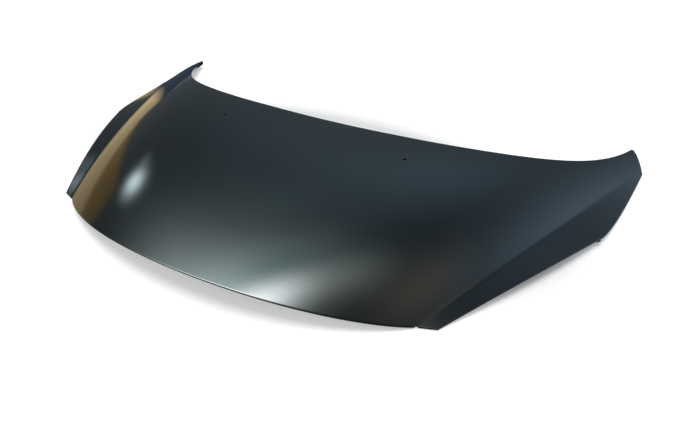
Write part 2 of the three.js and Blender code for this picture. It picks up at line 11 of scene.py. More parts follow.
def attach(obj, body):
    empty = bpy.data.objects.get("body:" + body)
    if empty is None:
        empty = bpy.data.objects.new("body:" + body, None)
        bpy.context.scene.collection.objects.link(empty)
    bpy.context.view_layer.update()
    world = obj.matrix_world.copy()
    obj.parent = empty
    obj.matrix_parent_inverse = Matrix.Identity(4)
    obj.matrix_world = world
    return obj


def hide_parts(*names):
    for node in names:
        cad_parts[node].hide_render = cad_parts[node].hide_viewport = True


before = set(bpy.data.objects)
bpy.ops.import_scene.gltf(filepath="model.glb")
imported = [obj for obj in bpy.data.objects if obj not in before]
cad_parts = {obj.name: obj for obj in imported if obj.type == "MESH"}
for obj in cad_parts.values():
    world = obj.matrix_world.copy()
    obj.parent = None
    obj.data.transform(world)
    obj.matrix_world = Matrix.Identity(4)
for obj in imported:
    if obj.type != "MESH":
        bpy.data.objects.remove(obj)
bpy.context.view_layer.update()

bl_info = {
    "name": "Car bonnet in primer",
    "version": (1, 0, 0),
    "blender": (4, 5, 0),
    "location": "View3D > Sidebar > Bonnet",
    "description": "Models and finishes a bare car bonnet in dark primer",
    "category": "Object",
}

MM = 0.001
BODY = "root"


class BonnetShape(bpy.types.PropertyGroup):
    """Sizes of the outer skin"""

    sheet: bpy.props.FloatProperty(
        name="Sheet", description="Thickness of the skin", default=0.8 * MM, unit="LENGTH"
    )
    hem_stack: bpy.props.FloatProperty(
        name="Hem height",
        description="Height of the folded edge over both sheets",
        default=3.0 * MM,
        unit="LENGTH",
    )
    hem_return: bpy.props.FloatProperty(
        name="Hem return",
        description="How far the edge is folded back under itself",
        default=11.0 * MM,
        unit="LENGTH",
    )
    crease_radius: bpy.props.FloatProperty(
        name="Crease radius",
        description="Softness of the shoulder crease",
        default=2.6 * MM,
        unit="LENGTH",
    )
    jet_hole: bpy.props.FloatProperty(
        name="Washer jet hole",
        description="Diameter of the two holes for the washer jets",
        default=8.0 * MM,
        unit="LENGTH",
    )
    tab_length: bpy.props.FloatProperty(
        name="Edge tab",
        description="Length of the tab on the hem",
        default=12.0 * MM,
        unit="LENGTH",
    )
    horn_lip: bpy.props.FloatProperty(
        name="Horn lip",
        description="How much deeper the folded edge is round the tips of the horns",
        default=9.0 * MM,
        unit="LENGTH",
    )


class BonnetFinish(bpy.types.PropertyGroup):
    """Colours of the finishes"""

    primer: bpy.props.FloatVectorProperty(
        name="Primer",
        description="Colour of the dipped primer on the skin",
        default=(0.0034, 0.0056, 0.0062),
        subtype="COLOR",
        min=0,
        max=1,
    )
    frame_primer: bpy.props.FloatVectorProperty(
        name="Frame primer",
        description="Colour of the primer on the frame",
        default=(0.0085, 0.0125, 0.0150),
        subtype="COLOR",
        min=0,
        max=1,
    )
    zinc: bpy.props.FloatVectorProperty(
        name="Zinc",
        description="Colour of the plated nuts",
        default=(0.42, 0.43, 0.42),
        subtype="COLOR",
        min=0,
        max=1,
    )
    mastic: bpy.props.FloatVectorProperty(
        name="Mastic",
        description="Colour of the mastic dabs",
        default=(0.045, 0.044, 0.040),
        subtype="COLOR",
        min=0,
        max=1,
    )
    floor: bpy.props.FloatVectorProperty(
        name="Floor",
        description="Colour of the studio floor",
        default=(0.88, 0.88, 0.88),
        subtype="COLOR",
        min=0,
        max=1,
    )


# Plan and height of the outer surface, in millimetres from the middle between the front corners
PLACE = Vector((0, -322.771, 3.047))  # from there to the frame's origin
FRONT_BOW = 123
FRONT_MIDDLE_REACH = 241
CREASE_FRONT = Vector((430, -12))
FRONT_CORNER_PULL = Vector((48, 36))
FRONT_CORNER = Vector((464.5, 0))
LAMP_EDGE_PULL = Vector((128, 204))
NOTCH_CORNER = Vector((676.6, 374.5))
WING_EDGE_PULL = Vector((20.4, 36.5))
HORN_CORNER = Vector((730, 690))
HORN_TIP = Vector((692, 767))
HORN_NOSE_PULL = Vector((10.4, 15.6))
REAR_MIDDLE = 463
REAR_STRAIGHT = 225
REAR_STRAIGHT_PULL = 121
HORN_ROOT_PULL = Vector((98, 273))
CREASE_ON_NOSE = 0.9
CREASE_BOW = 28.6
MIDDLE_HEIGHT = (44.5, 87, 116.7, 81)
CREASE_HEIGHT = (0.6, 36.1, 21.7, 5.4)
SHOULDER_ANGLE = (24.8, 29.5, 25.8)
FLANK_ANGLE = (4.7, 9.8, 29.3)
CROWN_FULLNESS = 1.2
NOTCH_SHARE = 10 / 19  # of the outer edge's rows, where the wing edge begins
ROOT_SHARE = 11 / 19  # of the crease, where the horn begins
ROOT_COLUMN = 9 / 13  # of the main patch's columns, at the horn's inner side
HORN_ROOT = 0.52  # of the rear edge, where the horn begins
CURVE_STEPS = 300

# Folded edge, washer-jet holes and tabs, in millimetres
WELD = 0.01
FINE_WELD = 0.001
LEAST_MITRE = 0.6  # keeps the mitre of a sharp corner short
FREE_ROOM = 3  # room of a rim vertex that no edge leads inwards from
INSET_STEP = 0.5
LEAST_INSET = 1
INSET_CLEAR = 0.9  # share of an inset that has to stay free of the other side
INSET_SLOPE = 0.5  # most change of the inset per length of rim
INSET_PASSES = 3
FOLD_TURNS = range(0, 181, 30)  # degrees
FOLD_REACH = 4  # what lies further in than this belongs to the hem's return
FOLD_ROOM = 0.75  # share of the way to the sheet's next vertices that the fold may take
FOLD_GAP = 0.6  # from the fold's inner bend to where both sheets lie flat
RETURN_ROUNDING = 0.4
RIM_INSET = 1.6  # of the outer surface's rim, from where the fold starts
RIM_STEP = 0.6  # from there to the underside's rim
RELIEF_RADIUS = 2.5  # round notch in the edge where the crease ends
LIP_STARTS = ((590, 680), (640, 690))  # back along the horn's bay side, and its outer side
LIP_FLOOR_GAP = 0.2
JET_PLACE = Vector((248.7, 347))
JET_CLEAR = 9
JET_SEARCH = 60
JET_SEGMENTS = 24
JET_LIP = (1.2, 0.3, 0.09)  # out to the ring that keeps the sheet flat, the rounding, its middle
TAB_END = 0.99  # share of the headlamp edge
TAB_REACH = (-2, 3)
TAB_DROP = (1.0, 1.6)
TAB_CHORDS = 50
TAB_AHEAD = 0.01  # share of the edge over which its direction is taken
TAB_SOFTNESS = 1
TAB_BEVEL = 0.2


def mix(a, b, t):
    return a + (b - a) * t


def quadratic(a, b, c):
    return lambda t: a * (1 - t) ** 2 + b * (2 * t * (1 - t)) + c * t**2


def cubic(a, b, c, d):
    def at(t):
        s = 1 - t
        return a * s**3 + b * (3 * t * s**2) + c * (3 * t * t * s) + d * t**3

    return at


def straight(a, b):
    return lambda t: a.lerp(b, t)


def by_length(curves):
    """One line through several curves, measured along its length from 0 to 1."""
    points = [curve(k / CURVE_STEPS) for curve in curves for k in range(CURVE_STEPS + 1)]
    lengths = [0.0]
    for a, b in zip(points, points[1:]):
        lengths.append(lengths[-1] + (b - a).length)

    def at(share):
        wanted = share * lengths[-1]
        low, high = 0, len(points) - 1
        while high - low > 1:
            middle = (low + high) // 2
            low, high = (middle, high) if lengths[middle] <= wanted else (low, middle)
        part = (wanted - lengths[low]) / max(1e-9, lengths[high] - lengths[low])
        return points[low].lerp(points[high], part)

    return at


front_edge = cubic(
    Vector((0, -FRONT_BOW)),
    Vector((FRONT_MIDDLE_REACH, -FRONT_BOW)),
    CREASE_FRONT - FRONT_CORNER_PULL,
    CREASE_FRONT,
)
lamp_edge = quadratic(FRONT_CORNER, FRONT_CORNER + LAMP_EDGE_PULL, NOTCH_CORNER)
wing_edge = quadratic(NOTCH_CORNER, NOTCH_CORNER + WING_EDGE_PULL, HORN_CORNER)
nose_edge = quadratic(HORN_TIP, HORN_TIP + HORN_NOSE_PULL, HORN_CORNER)
rear_edge = by_length(
    [
        straight(Vector((0, REAR_MIDDLE)), Vector((REAR_STRAIGHT, REAR_MIDDLE))),
        cubic(
            Vector((REAR_STRAIGHT, REAR_MIDDLE)),
            Vector((REAR_STRAIGHT + REAR_STRAIGHT_PULL, REAR_MIDDLE)),
            HORN_TIP - HORN_ROOT_PULL,
            HORN_TIP,
        ),
    ]
)
CREASE_REAR = nose_edge(CREASE_ON_NOSE)
crease = quadratic(
    CREASE_FRONT, CREASE_FRONT.lerp(CREASE_REAR, 0.5) + Vector((CREASE_BOW, 0)), CREASE_REAR
)


def pulled(values, t):
    return cubic(*values)(t)


def through(values, t):
    front, middle, rear = values
    return 2 * (t - 0.5) * (t - 1) * front + 4 * t * (1 - t) * middle + 2 * t * (t - 0.5) * rear


def skin_height(x, y, soft):
    """Height of the outer surface, its crease softened by a radius."""
    across = abs(x)
    t = (y - CREASE_FRONT.y) / (CREASE_REAR.y - CREASE_FRONT.y)
    crease_x = crease(t).x
    crease_z = pulled(CREASE_HEIGHT, t)
    inside = math.tan(math.radians(through(SHOULDER_ANGLE, t)))
    outside = math.tan(math.radians(through(FLANK_ANGLE, t)))
    past = across - crease_x
    if past > 0:
        z = crease_z - outside * past
    else:
        middle_z = pulled(MIDDLE_HEIGHT, (y + FRONT_BOW) / (REAR_MIDDLE + FRONT_BOW))
        s = (across / crease_x) ** CROWN_FULLNESS
        z = mix(middle_z, crease_z, s * s * (3 - 2 * s))
        z += s * s * (1 - s) * inside * crease_x / CROWN_FULLNESS
    return z + (inside - outside) / 2 * (math.hypot(past, soft) - abs(past))


def coons(front, rear, inner, outer):
    def at(u, v):
        edges = front(u) * (1 - v) + rear(u) * v + inner(v) * (1 - u) + outer(v) * u
        corners = front(0) * ((1 - u) * (1 - v)) + front(1) * (u * (1 - v))
        return edges - corners - rear(0) * ((1 - u) * v) - rear(1) * (u * v)

    return at


root_line = straight(rear_edge(HORN_ROOT), crease(ROOT_SHARE))


def main_rear(u):
    if u < ROOT_COLUMN:
        return rear_edge(HORN_ROOT * u / ROOT_COLUMN)
    return root_line((u - ROOT_COLUMN) / (1 - ROOT_COLUMN))


def outer_edge(v):
    if v < NOTCH_SHARE:
        return lamp_edge(v / NOTCH_SHARE)
    return wing_edge((v - NOTCH_SHARE) / (1 - NOTCH_SHARE))


main_patch = coons(
    front_edge,
    main_rear,
    straight(Vector((0, -FRONT_BOW)), Vector((0, REAR_MIDDLE))),
    lambda v: crease(ROOT_SHARE * v),
)
horn_patch = coons(
    root_line,
    lambda u: nose_edge(CREASE_ON_NOSE * u),
    lambda v: rear_edge(mix(HORN_ROOT, 1, v)),
    lambda v: crease(mix(ROOT_SHARE, 1, v)),
)
flank_patch = coons(
    straight(CREASE_FRONT, FRONT_CORNER),
    lambda u: nose_edge(mix(CREASE_ON_NOSE, 1, u)),
    crease,
    outer_edge,
)

# Shares at which the patches are divided: closer together by the crease
HORN_COLUMNS = [0, 0.07, 0.15, 0.24, 0.33, 0.42, 0.51, 0.6]
HORN_COLUMNS += [0.69, 0.77, 0.84, 0.9, 0.945, 0.975, 0.991, 1]
MAIN_COLUMNS = [ROOT_COLUMN * k / 26 for k in range(26)]
MAIN_COLUMNS += [mix(ROOT_COLUMN, 1, share) for share in HORN_COLUMNS]
FLANK_COLUMNS = [0, 0.025, 0.07, 0.15, 0.27, 0.42, 0.6, 0.8, 1]
MAIN_ROWS = [k / 44 for k in range(45)]
HORN_ROWS = [k / 32 for k in range(33)]
FLANK_ROWS = [ROOT_SHARE * v for v in MAIN_ROWS] + [mix(ROOT_SHARE, 1, v) for v in HORN_ROWS[1:]]


def add_patch(bm, columns, rows, place):
    """A grid whose vertices are moved to their places on the plan."""
    made = bmesh.ops.create_grid(bm, x_segments=len(columns) - 1, y_segments=len(rows) - 1, size=1)
    for vert in made["verts"]:
        column = round((vert.co.x + 1) / 2 * (len(columns) - 1))
        row = round((vert.co.y + 1) / 2 * (len(rows) - 1))
        vert.co = place(columns[column], rows[row]).to_3d()


def walk_rim(bm):
    """The vertices round the open edge of a sheet, in order, the sheet on their left."""
    after = {}
    for edge in bm.edges:
        if edge.is_boundary:
            loop = edge.link_loops[0]
            after[loop.vert] = loop.link_loop_next.vert
    rim = [next(iter(after))]
    while after[rim[-1]] != rim[0]:
        rim.append(after[rim[-1]])
    return rim


def rim_directions(rim):
    """For each rim vertex its way inwards, mitred, and the room to the sheet's next vertices."""
    on_rim = set(rim)
    found = []
    for k, vert in enumerate(rim):
        before = (vert.co - rim[k - 1].co).to_2d().normalized()
        after = (rim[(k + 1) % len(rim)].co - vert.co).to_2d().normalized()
        normal = Vector((-before.y - after.y, before.x + after.x)).normalized()
        square = max(LEAST_MITRE, normal.dot(Vector((-after.y, after.x))))
        inside = [e.other_vert(vert) for e in vert.link_edges]
        inside = [other for other in inside if other not in on_rim]
        reach = [(other.co - vert.co).to_2d().dot(normal) for other in inside]
        found.append((vert.co.to_2d(), normal / square, min(reach, default=FREE_ROOM)))
    return found


def clear_insets(directions, wanted):
    """How far each rim point can move in before it meets the other side."""
    insets = []
    points = [at for at, _, _ in directions]
    for at, inward, _ in directions:
        inset = wanted
        while inset > LEAST_INSET:
            moved = at + inward * inset
            if min((moved - other).length for other in points) > INSET_CLEAR * inset:
                break
            inset -= INSET_STEP
        insets.append(inset)
    for _ in range(INSET_PASSES):
        for order in (range(len(points)), reversed(range(len(points)))):
            for k in order:
                for j in (k - 1, (k + 1) % len(points)):
                    step = (points[k] - points[j]).length
                    insets[k] = min(insets[k], insets[j] + INSET_SLOPE * step)
    return insets


def extrude_ring(bm, ring):
    """Extrudes a closed ring of vertices, and gives the new ring in the same order."""
    edges = [bm.edges.get((a, b)) for a, b in zip(ring, ring[1:] + ring[:1])]
    made = bmesh.ops.extrude_edge_only(bm, edges=edges)
    fresh = {v for v in made["geom"] if isinstance(v, bmesh.types.BMVert)}
    return [next(e.other_vert(v) for e in v.link_edges if e.other_vert(v) in fresh) for v in ring]


def add_object(name, bm, material):
    """A finished bmesh made an object of one material."""
    mesh = bpy.data.meshes.new(name)
    bm.to_mesh(mesh)
    bm.free()
    mesh.materials.append(material)
    made = bpy.data.objects.new(name, mesh)
    bpy.context.scene.collection.objects.link(made)
    return made


def finish_piece(name, bm, material, *replaced):
    """A bmesh in millimetres made a piece of the bonnet, in the frame's metres."""
    bmesh.ops.translate(bm, verts=bm.verts, vec=PLACE)
    bmesh.ops.scale(bm, verts=bm.verts, vec=(MM, MM, MM))
    piece = add_object(name, bm, material)
    piece.data.shade_smooth()
    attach(piece, BODY)
    if replaced:
        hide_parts(*replaced)
    return piece


class Wire:
    """A socket with the maths that adds its nodes."""

    def __init__(self, bench, socket):
        self.bench = bench
        self.socket = socket

    def __add__(self, other):
        return self.bench.maths("ADD", self, other)

    def __sub__(self, other):
        return self.bench.maths("SUBTRACT", self, other)

    def __mul__(self, other):
        return self.bench.maths("MULTIPLY", self, other)

    __radd__ = __add__


class Bench:
    """A material or world being made of nodes."""

    def __init__(self, owner):
        self.owner = owner
        owner.use_nodes = True
        self.tree = owner.node_tree
        self.tree.nodes.clear()

    def node(self, kind, settings=(), values=(), out=0):
        made = self.tree.nodes.new("ShaderNode" + kind)
        for key, value in dict(settings).items():
            if key == "stops":
                self.set_stops(made.color_ramp, value)
            else:
                setattr(made, key, value)
        for key, value in dict(values).items():
            if isinstance(value, Wire):
                self.tree.links.new(value.socket, made.inputs[key])
            else:
                made.inputs[key].default_value = value
        return Wire(self, made.outputs[out]) if made.outputs else None

    def set_stops(self, ramp, stops):
        while len(ramp.elements) < len(stops):
            ramp.elements.new(1)
        for element, (position, level) in zip(ramp.elements, stops):
            element.position = position
            element.color = (level, level, level, 1)

    def maths(self, operation, a, b):
        return self.node("Math", {"operation": operation}, {0: a, 1: b})

    def vector(self, operation, a, values=(), out=0):
        return self.node("VectorMath", {"operation": operation}, {0: a, **dict(values)}, out)

    def shade(self, a, b, factor):
        """A colour between two colours."""
        values = {"Factor": factor, "A": a, "B": b}
        return self.node("Mix", {"data_type": "RGBA"}, values, out="Result")

    def noise(self, place, scale, detail=2.0, roughness=0.5):
        values = {"Vector": place, "Scale": scale, "Detail": detail, "Roughness": roughness}
        return self.node("TexNoise", values=values)

    def ramp(self, value, stops):
        return self.node("ValToRGB", {"stops": stops}, {"Fac": value})

    def bump(self, strength, height):
        return self.node("Bump", values={"Strength": strength, "Distance": MM, "Height": height})

    def end(self, kind, values):
        """The material, after its last shader."""
        self.node("OutputMaterial", values={"Surface": self.node(kind, values=values)})
        return self.owner


def rgba(colour, factor=1.0):
    return (*(min(1.0, c * factor) for c in colour), 1)


def start_material(name):
    """A new material's bench, and the place on the object that its textures read."""
    bench = Bench(bpy.data.materials.new(name))
    return bench, bench.node("TexCoord", out="Object")


def skin_primer(colour):
    """Dipped primer on the skin: smooth and deep, with a faint orange peel and wiped patches."""
    bench, place = start_material("skin_primer")
    peel = bench.noise(place, 330, 1.0)
    wave = bench.noise(place, 14, 1.0)
    patches = bench.noise(place, 5.5, 3.0, 0.6)
    dust = bench.noise(place, 900, 2.0, 0.7)
    specks = bench.ramp(dust, [(0.66, 0), (0.72, 1)])
    wiped = bench.ramp(patches, [(0.35, 0), (0.7, 1)])
    base = bench.shade(rgba(colour), rgba(colour, 1.5), wiped)
    base = bench.shade(base, rgba((0.05, 0.055, 0.055)), specks * 0.25)
    rough = 0.07 + patches * 0.04 + specks * 0.1
    bump = bench.bump(0.01, peel * 0.5 + wave * 0.5)
    values = {"Base Color": base, "Roughness": rough, "Normal": bump, "IOR": 1.5}
    return bench.end("BsdfPrincipled", values)


def frame_primer(colour, name="frame_primer", rough=0.42):
    """Primer on the frame: thinner and flatter than on the skin."""
    bench, place = start_material(name)
    cloud = bench.noise(place, 9, 4.0, 0.6)
    thick = bench.ramp(cloud, [(0.3, 0), (0.7, 1)])
    base = bench.shade(rgba(colour, 0.8), rgba(colour, 1.7), thick)
    bump = bench.bump(0.06, bench.noise(place, 420, 2.0))
    values = {"Base Color": base, "Roughness": rough + cloud * 0.1, "Normal": bump}
    return bench.end("BsdfPrincipled", values)


def zinc_plating(colour):
    """Plated weld nuts: metal, a little streaked."""
    bench, place = start_material("zinc_plating")
    streaks = bench.noise(place, 260, 3.0)
    base = bench.shade(rgba(colour, 0.8), rgba(colour, 1.15), streaks)
    values = {"Base Color": base, "Roughness": 0.3 + streaks * 0.2, "Metallic": 1.0}
    return bench.end("BsdfPrincipled", values)


def mastic_dab(colour):
    """Mastic: matt and slightly lumpy."""
    bench, place = start_material("mastic")
    lumps = bench.noise(place, 180, 3.0)
    base = bench.shade(rgba(colour, 0.75), rgba(colour, 1.3), lumps)
    values = {"Base Color": base, "Roughness": 0.85, "Normal": bench.bump(0.4, lumps)}
    return bench.end("BsdfPrincipled", values)


def dress(prefix, material):
    """Gives a finish to every CAD node whose name starts so."""
    for name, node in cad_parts.items():
        if name.startswith(prefix):
            node.data.materials.clear()
            node.data.materials.append(material)


def skin_section(shape):
    """Insets and drops round the folded edge, from the outer surface to the sheet's underside."""
    sheet = shape.sheet / MM
    back = shape.hem_return / MM
    stack = shape.hem_stack / MM
    radius = stack / 2
    turns = [math.radians(turn) for turn in FOLD_TURNS]
    rings = [(radius * (1 - math.sin(a)), radius * (1 - math.cos(a))) for a in turns]
    near = back - RETURN_ROUNDING
    rings += [(near, stack), (back, stack - sheet / 2), (near, stack - sheet)]
    flat = radius + FOLD_GAP
    rings += [(flat, stack - sheet), (radius, stack / 2), (flat, sheet)]
    return rings


def cut_jet(bm, centre, radius):
    """Opens the grid round a hole, and gives the hole's ring of vertices, in order."""

    def apart(vert):
        return (vert.co.to_2d() - centre).length

    near = [v for v in bm.verts if apart(v) < radius + JET_CLEAR]
    bmesh.ops.delete(bm, geom=near, context="VERTS")
    rim = [e for e in bm.edges if e.is_boundary and apart(e.verts[0]) < JET_SEARCH]
    place = Matrix.Translation(centre.to_3d())
    made = bmesh.ops.create_circle(bm, segments=JET_SEGMENTS, radius=radius, matrix=place)
    circle = list({e for v in made["verts"] for e in v.link_edges})
    bmesh.ops.bridge_loops(bm, edges=rim + circle)
    return made["verts"]


def relief_depth(at):
    """How far a rim point moves in round the notch at the end of the crease."""
    apart = math.hypot(abs(at.x) - CREASE_FRONT.x, at.y - CREASE_FRONT.y)
    return math.sqrt(max(0, RELIEF_RADIUS**2 - apart**2))


def lip_depth(at, deepest, stack):
    """How much deeper the edge is round the tip of a horn, as far as the floor allows."""
    outside = abs(at.x) > crease((at.y - CREASE_FRONT.y) / (CREASE_REAR.y - CREASE_FRONT.y)).x
    start, full = LIP_STARTS[outside]
    t = min(1, max(0, (at.y - start) / (full - start)))
    room = skin_height(at.x, at.y, 0) + PLACE.z - stack - LIP_FLOOR_GAP
    return t * t * (3 - 2 * t) * min(deepest, max(0, room))


def add_tab(bm, side, length):
    """The small tab that stands out of the hem just ahead of the notch."""
    line = by_length([lamp_edge])
    points = [lamp_edge(k / TAB_CHORDS) for k in range(TAB_CHORDS + 1)]
    whole = sum((b - a).length for a, b in zip(points, points[1:]))
    made = bmesh.ops.create_cube(bm, size=2)
    for vert in made["verts"]:
        share = TAB_END - (length / whole if vert.co.x < 0 else 0)
        along = (line(share + TAB_AHEAD) - line(share)).normalized()
        outward = Vector((along.y, -along.x))
        at = line(share) + outward * TAB_REACH[vert.co.y > 0]
        height = skin_height(at.x, at.y, TAB_SOFTNESS) - TAB_DROP[vert.co.z < 0]
        vert.co = Vector((side * at.x, at.y, height))
    faces = {f for v in made["verts"] for f in v.link_faces}
    bmesh.ops.recalc_face_normals(bm, faces=list(faces))
    edges = list({e for f in faces for e in f.edges})
    bmesh.ops.bevel(
        bm, geom=edges, offset=TAB_BEVEL, segments=2, profile=0.5, affect="EDGES", material=-1
    )


class BONNET_OT_outer_skin(bpy.types.Operator):
    """Models the crowned outer skin with its crease, folded edge, tabs and washer-jet holes"""

    bl_idname = "bonnet.outer_skin"
    bl_label = "Outer skin"

    def execute(self, context):
        shape = context.scene.bonnet_shape
        finish = context.scene.bonnet_finish
        soft = shape.crease_radius / MM
        bm = bmesh.new()
        add_patch(bm, MAIN_COLUMNS, MAIN_ROWS, main_patch)
        add_patch(bm, HORN_COLUMNS, HORN_ROWS, horn_patch)
        add_patch(bm, FLANK_COLUMNS, FLANK_ROWS, flank_patch)
        bmesh.ops.remove_doubles(bm, verts=bm.verts, dist=WELD)
        half = bm.verts[:] + bm.edges[:] + bm.faces[:]
        bmesh.ops.mirror(bm, geom=half, axis="X", merge_dist=WELD)
        bmesh.ops.recalc_face_normals(bm, faces=bm.faces)
        if sum(f.normal.z for f in bm.faces) < 0:
            bmesh.ops.reverse_faces(bm, faces=bm.faces)
        rim = walk_rim(bm)
        directions = rim_directions(rim)
        returns = clear_insets(directions, shape.hem_return / MM)
        jet_radius = shape.jet_hole / MM / 2
        support, lip, corner = JET_LIP
        centres = [JET_PLACE, Vector((-JET_PLACE.x, JET_PLACE.y))]
        jets = [(centre, cut_jet(bm, centre, jet_radius + support)) for centre in centres]
        # The underside of the sheet, then the rings of the fold between both faces
        copy = bmesh.ops.duplicate(bm, geom=bm.verts[:] + bm.edges[:] + bm.faces[:])
        under = copy["vert_map"]
        underside = [f for f in copy["geom"] if isinstance(f, bmesh.types.BMFace)]
        bmesh.ops.reverse_faces(bm, faces=underside)
        sheet = shape.sheet / MM
        drops = {v: sheet for v in copy["geom"] if isinstance(v, bmesh.types.BMVert)}
        section = skin_section(shape)
        outer = section[0][0] + RIM_INSET
        reliefs = [relief_depth(at) for at, _, _ in directions]
        stack = shape.hem_stack / MM
        lips = [lip_depth(at, shape.horn_lip / MM, stack) for at, _, _ in directions]

        def move(vert, k, inset, drop):
            at, inward, room = directions[k]
            if inset > FOLD_REACH:
                inset = min(inset, returns[k])
            else:
                inset *= min(1, FOLD_ROOM * room / outer)
            vert.co = (at + inward * (inset + reliefs[k])).to_3d()
            drops[vert] = drop + (lips[k] if drop > stack / 2 else 0)

        lower_rim = [under[v] for v in rim]
        for k, vert in enumerate(rim):
            move(vert, k, outer, 0)
            move(lower_rim[k], k, outer + RIM_STEP, sheet)
        ring = rim
        for inset, drop in section:
            ring = extrude_ring(bm, ring)
            for k, vert in enumerate(ring):
                move(vert, k, inset, drop)
        ring = extrude_ring(bm, ring)
        for k, vert in enumerate(ring):
            vert.co = lower_rim[k].co
            drops[vert] = sheet
        merged = ring + lower_rim
        wall = [(lip, 0), (corner, corner), (0, lip), (0, sheet - lip), (corner, sheet - corner)]
        wall += [(lip, sheet), (support, sheet)]
        for centre, ring in jets:
            lower = [under[v] for v in ring]
            for wide, drop in wall:
                ring = extrude_ring(bm, ring)
                for vert, other in zip(ring, lower):
                    out = (other.co.to_2d() - centre).normalized()
                    vert.co = (centre + out * (jet_radius + wide)).to_3d()
                    drops[vert] = drop
            merged += ring + lower
        for vert in bm.verts:
            vert.co.z = skin_height(vert.co.x, vert.co.y, soft) - drops.get(vert, 0)
        bmesh.ops.remove_doubles(bm, verts=merged, dist=FINE_WELD)
        for side in (1, -1):
            add_tab(bm, side, shape.tab_length / MM)
        piece = finish_piece("outer_skin_panel", bm, skin_primer(finish.primer), "outer_skin")
        return {"FINISHED"}


class BONNET_OT_inner_frame(bpy.types.Operator):
    """Finishes the pressed frame and the plates on its pads"""

    bl_idname = "bonnet.inner_frame"
    bl_label = "Inner frame"

    def execute(self, context):
        colour = context.scene.bonnet_finish.frame_primer
        dress("inner_frame", frame_primer(colour))
        plates = frame_primer(colour, "plate_primer", 0.5)
        dress("hinge_reinforcement", plates)
        dress("latch_reinforcement", plates)
        return {"FINISHED"}


class BONNET_OT_small_parts(bpy.types.Operator):
    """Finishes the weld nuts and the dabs of mastic"""

    bl_idname = "bonnet.small_parts"
    bl_label = "Nuts and mastic"

    def execute(self, context):
        finish = context.scene.bonnet_finish
        plating = zinc_plating(finish.zinc)
        dress("hinge_nut", plating)
        dress("latch_nut", plating)
        dress("mastic_dab", mastic_dab(finish.mastic))
        return {"FINISHED"}


# Camera, in metres and degrees
CAMERA_PLACE = Vector((0.6396, -0.9559, 0.7232))
CAMERA_WAY = (-28.4, -36.1)
CAMERA_ROLL = 0.9
FOCAL_PIXELS = 550
IMAGE_WIDTH = 700
SENSOR_WIDTH = 36
# Lamps high on both sides: name, azimuth in degrees, power in watts
LAMPS = (("key", -60, 95), ("fill", 60, 35))
LAMP_ELEVATION = 78
LAMP_DISTANCE = 4.5
LAMP_SIZE = 4.0
SURROUND_RADIUS = 25
SURROUND_SUBDIVISIONS = 4
SURROUND_BASE = (0.125, 0.148, 0.163)
# Soft lights on the dome: azimuth, elevation and spread in degrees, strength (less than 0 where
# it takes light away), colour
GLOWS = (
    (-88, 75, 5.2, 21.0, (1.0, 1.0, 1.02)),
    (-106, 62, 11, 21.0, (0.81, 1.0, 0.97)),
    (-18, 80, 5.5, 1.7, (0.84, 1.0, 0.93)),
    (-66.3, 25.5, 1.2, 0.6, (0.80, 1.0, 1.07)),
    (56, 26, 16.5, 1.34, (0.68, 1.0, 1.35)),
    (-21, 42, 15, 0.38, (0.62, 1.0, 1.3)),
    (66, 65, 8.2, 0.56, (1.2, 1.0, 0.73)),
    (2, 44, 10, 0.14, (0.62, 1.0, 1.6)),
    (32, 78, 5, 0.53, (0.92, 1.0, 0.93)),
    (-48, 48, 5, 0.22, (0.62, 1.0, 0.95)),
    (-48, 66, 5, 0.5, (0.75, 1.0, 0.95)),
    (-70, 70, 5, -4.2, (1.03, 1.0, 0.97)),
)
# Timber low on the left of the dome: two points of its upper edge in degrees, colour
TIMBER_AZIMUTH = -74
TIMBER_ELEVATION = 4
TIMBER_SIDE = 0.94  # cosine of its reach to either side
TIMBER_SIDE_FADE = 60
TIMBER_EDGE_FADE = 0.02
TIMBERS = (
    ((-56, -9), (-76, 24), (0.48, 0.33, 0.13)),
    ((-56, -2), (-76, 10), (1.0, 0.73, 0.41)),
)
# Floor, which is made paler only beside the bonnet and left darker under it as painted shade, in
# metres
FLOOR_REACH = 30
PAINTED_SHADE_REACH = Vector((0.66, 0.36))
PAINTED_SHADE_FADE = (0.85, 1.1)
LIFT = (0.45, 0.45, 0.45)
# Boards beside the left flank: their near edge in metres, and the plane behind which they give
# way to a dark floor
BOARDS_EDGE = (
    (-0.42, -0.6),
    (-0.46, -0.34),
    (-0.66, 0.05),
    (-0.71, 0.37),
    (-0.67, 0.46),
    (-0.5, 0.9),
)
BOARDS_HEIGHT = 0.001
BOARDS_LENGTH = 12
BOARDS_SLOPE = 0.03
BOARDS_END = (0.559, 0.829, 0, -0.24)
BOARDS_END_FADE = 0.06
DARK_FLOOR = (0.055, 0.078, 0.12)
# Black flags under the washer-jet holes, dark sheets that paint the shade seen through them, in
# metres
SHADE_FLAG_PLACE = Vector((0.2487, 0.042, 0.088))
SHADE_FLAG_SIZE = (0.056, 0.036)
# The window by the left flank: the place it faces, where it hangs from there, and how it fades
WINDOW_FACES = Vector((-0.27, -0.28, 0.07))
WINDOW_WAY = (-70.4, 28.1)
WINDOW_DISTANCE = 2.2
WINDOW_SPREAD = Vector((0.09, 0.08))
WINDOW_SIZE = 0.3
WINDOW_COLOUR = (0.76, 0.95, 1.0)
WINDOW_STRENGTH = 8.2
# The world as light, and as it is seen
WORLD_LIGHT = (0.322, 0.34, 0.35)
WORLD_SEEN = (0.75, 0.75, 0.76)  # as pale as the floor far away


def direction(azimuth, elevation):
    """A direction from its angles in degrees, 0,0 being straight to the rear."""
    a, e = math.radians(azimuth), math.radians(elevation)
    return Vector((math.sin(a) * math.cos(e), math.cos(a) * math.cos(e), math.sin(e)))


def aim(place, target):
    return (target - place).to_track_quat("-Z", "Y").to_matrix().to_4x4()


